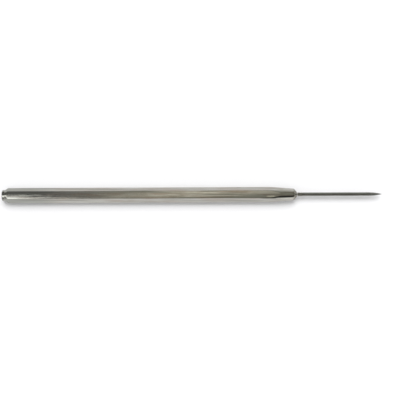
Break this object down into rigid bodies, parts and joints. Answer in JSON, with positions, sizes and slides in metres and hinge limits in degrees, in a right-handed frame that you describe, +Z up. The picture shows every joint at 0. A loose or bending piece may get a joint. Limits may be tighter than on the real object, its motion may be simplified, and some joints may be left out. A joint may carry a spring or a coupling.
{
  "type": "pricking iron",
  "caption": "Slim single-point pricker: a straight steel needle soldered into the turned nose of a plated hexagonal metal handle.",
  "frame": {"origin": "under the middle of the tool's length, on the surface that it lies on", "axes": "+X along the tool from the butt to the point, +Z up out of the handle's upper flat"},
  "size_m": [0.14, 0.0058, 0.005],
  "materials": {
    "nickel_plate": "bright nickel plate over drawn hexagonal bar, with fine lengthwise drawing lines",
    "needle_steel": "hardened steel wire, polished, with a ground point",
    "solder": "soft solder, satin"
  },
  "bodies": {
    "root": {"handle": "nickel_plate", "needle": "needle_steel", "solder_sleeve": "solder"}
  },
  "joints": []
}
